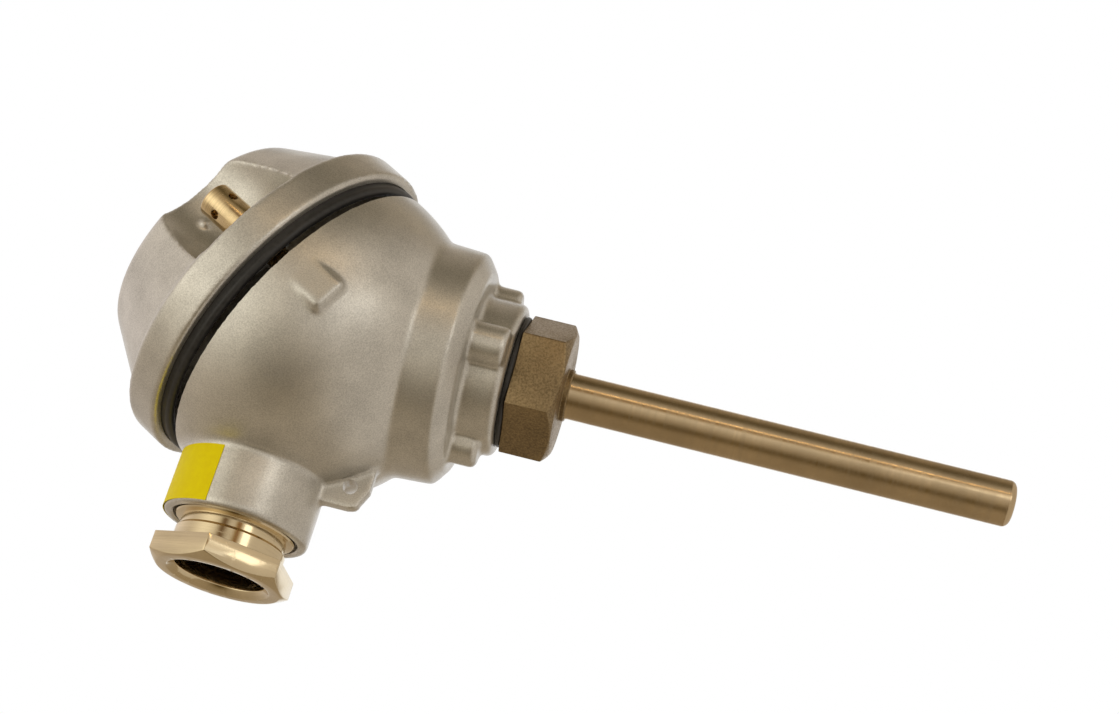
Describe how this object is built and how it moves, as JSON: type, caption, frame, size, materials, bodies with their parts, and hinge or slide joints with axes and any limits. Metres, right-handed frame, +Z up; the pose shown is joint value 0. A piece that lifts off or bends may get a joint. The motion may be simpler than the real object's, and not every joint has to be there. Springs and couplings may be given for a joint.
{
  "type": "rtd probe with head",
  "caption": "Resistance thermometer with a slanted-lid cast connection head, cable gland, hex adapter and closed protection tube, with its spring-loaded insert inside.",
  "frame": {"origin": "centre of the shoulder where the bare stem leaves the adapter, on the stem's axis", "axes": "+Z up the stem's axis into the head, -X along the cable entry outwards, +X the low side of the slanted lid"},
  "size_m": [0.0983, 0.0782, 0.1948],
  "materials": {
    "cast_paint": "silver hammered-fine metallic paint on die-cast aluminium",
    "rubber_black": "smooth black rubber",
    "nickel_brass": "nickel-plated brass, polished",
    "screw_brass": "bright brass",
    "steel_clip": "spring steel",
    "label_yellow": "yellow foil",
    "steel_blasted": "blasted stainless steel",
    "steel_turned": "turned stainless steel",
    "steel_plain": "plain stainless steel",
    "ceramic": "white steatite",
    "terminal_brass": "nickel-free brass",
    "lead_red": "insulated lead",
    "mineral": "pressed mineral powder"
  },
  "bodies": {
    "head": {"head_body": "cast_paint", "entry_label": "label_yellow", "neck_seal": "rubber_black", "hex_adapter": "steel_blasted", "protection_tube": "steel_turned", "cable_seal": "rubber_black", "mounting_screws": "steel_plain", "mounting_springs": "steel_clip", "earth_screw": "terminal_brass", "earth_washer": "steel_plain"},
    "insert": {"insert_sheath": "steel_plain", "insert_flange": "steel_plain", "terminal_block": "ceramic", "terminal_posts": "terminal_brass", "terminal_screws": "terminal_brass", "lead_wires": "lead_red", "mineral_core": "mineral", "sensing_element": "ceramic"},
    "lid": {"lid": "cast_paint", "lid_seal": "rubber_black"},
    "screw_front": {"lid_screw_front": "screw_brass", "screw_clip_front": "steel_clip"},
    "screw_rear": {"lid_screw_rear": "screw_brass", "screw_clip_rear": "steel_clip"},
    "washer": {"thrust_washer": "steel_plain"},
    "gland": {"pressure_screw": "nickel_brass"}
  },
  "joints": [
    {"name": "lid_lift", "type": "slide", "parent": "head", "child": "lid", "axis": [0.4848, 0, 0.8746], "range_m": [-0.0014, 0.045]},
    {"name": "front_screw_turn", "type": "hinge", "parent": "lid", "child": "screw_front", "pos_m": [0.00592, -0.0312, 0.06977], "axis": [0.4848, 0, 0.8746], "continuous": true},
    {"name": "rear_screw_turn", "type": "hinge", "parent": "lid", "child": "screw_rear", "pos_m": [0.00592, 0.0312, 0.06977], "axis": [0.4848, 0, 0.8746], "continuous": true},
    {"name": "gland_advance", "type": "slide", "parent": "head", "child": "washer", "axis": [-1, 0, 0], "range_m": [0, 0.0045]},
    {"name": "gland_turn", "type": "hinge", "parent": "washer", "child": "gland", "pos_m": [-0.05, 0, 0.0597], "axis": [-1, 0, 0], "range_deg": [0, 1080]},
    {"name": "insert_push", "type": "slide", "parent": "head", "child": "insert", "axis": [0, 0, 1], "range_m": [0, 0.004], "stiffness_N_per_m": 1500, "springref_m": -0.004, "deforming": ["mounting_springs"]}
  ],
  "couplings": [
    {"joint": "gland_turn", "follows": "gland_advance", "rad_per_m": 4188.8}
  ]
}
